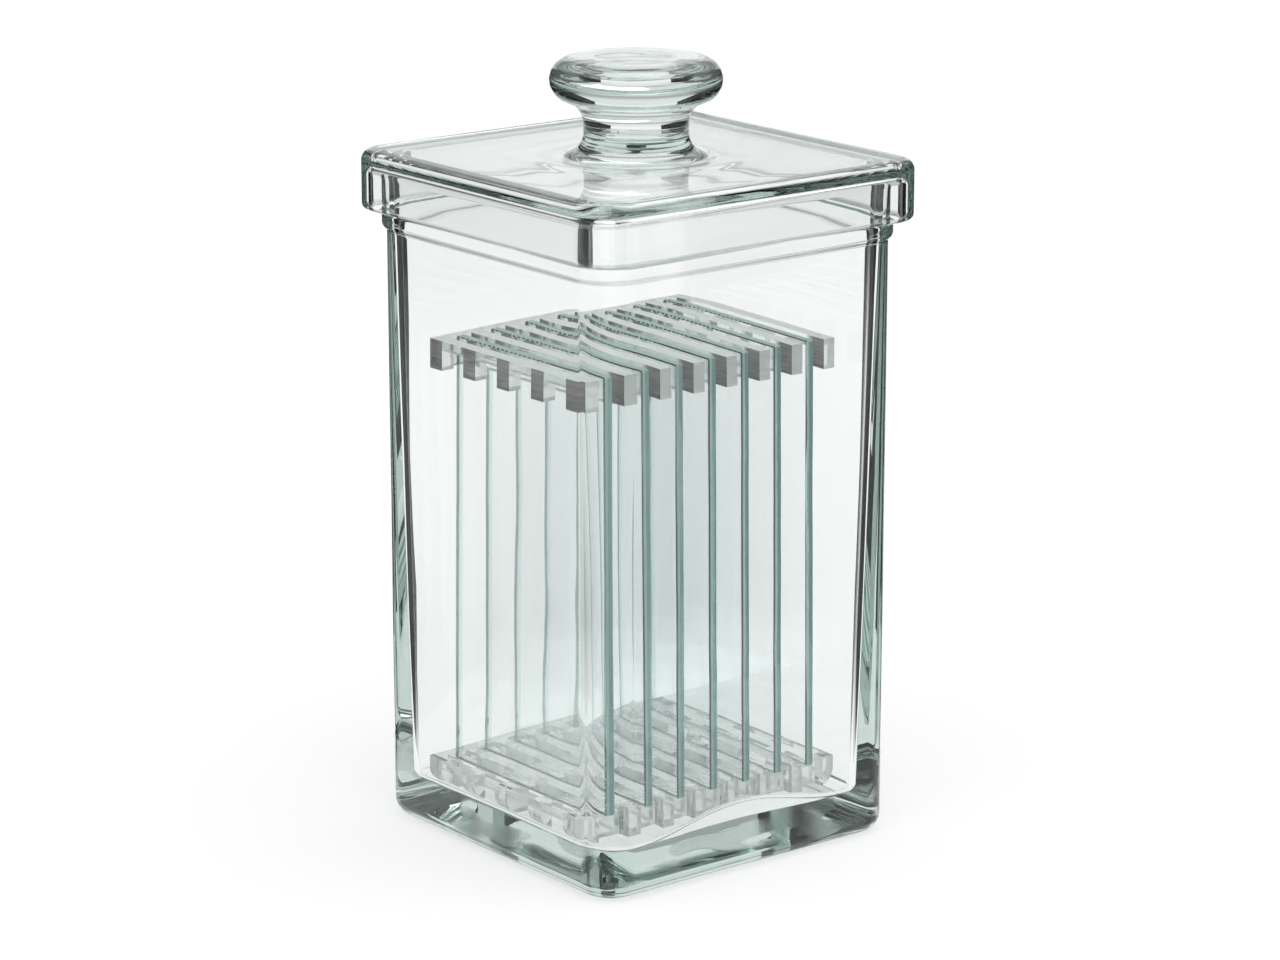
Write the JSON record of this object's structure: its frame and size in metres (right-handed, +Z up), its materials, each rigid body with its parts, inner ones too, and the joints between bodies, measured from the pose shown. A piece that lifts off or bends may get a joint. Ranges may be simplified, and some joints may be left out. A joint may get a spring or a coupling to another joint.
{
  "type": "slide staining jar",
  "caption": "Square lidded glass jar that holds a rack of upright microscope slides in stain, with comb guides at their feet and tops and a knobbed lid that lifts off.",
  "frame": {"origin": "centre of the jar's base, on the surface it stands on", "axes": "+Z up along the jar and the knob; the slides lie in planes of constant X, with their width along Y; -Y is the open front of the rack"},
  "size_m": [0.071, 0.071, 0.1356],
  "materials": {
    "jar_glass": "pressed, fire polished, faint green",
    "lid_glass": "pressed, fire polished, faint green",
    "guide_glass": "clear, with sawn faces left ground",
    "slide_glass": "clear sheet, with teal cut edges"
  },
  "bodies": {
    "jar": {"jar": "jar_glass", "upper_slide_guide": "guide_glass", "lower_slide_guide": "guide_glass", "slide_1": "slide_glass", "slide_2": "slide_glass", "slide_3": "slide_glass", "slide_4": "slide_glass", "slide_5": "slide_glass", "slide_6": "slide_glass", "slide_7": "slide_glass"},
    "lid": {"lid": "lid_glass"}
  },
  "joints": [
    {"name": "lid_lift", "type": "slide", "parent": "jar", "child": "lid", "axis": [0, 0, 1], "range_m": [0, 0.03]}
  ]
}
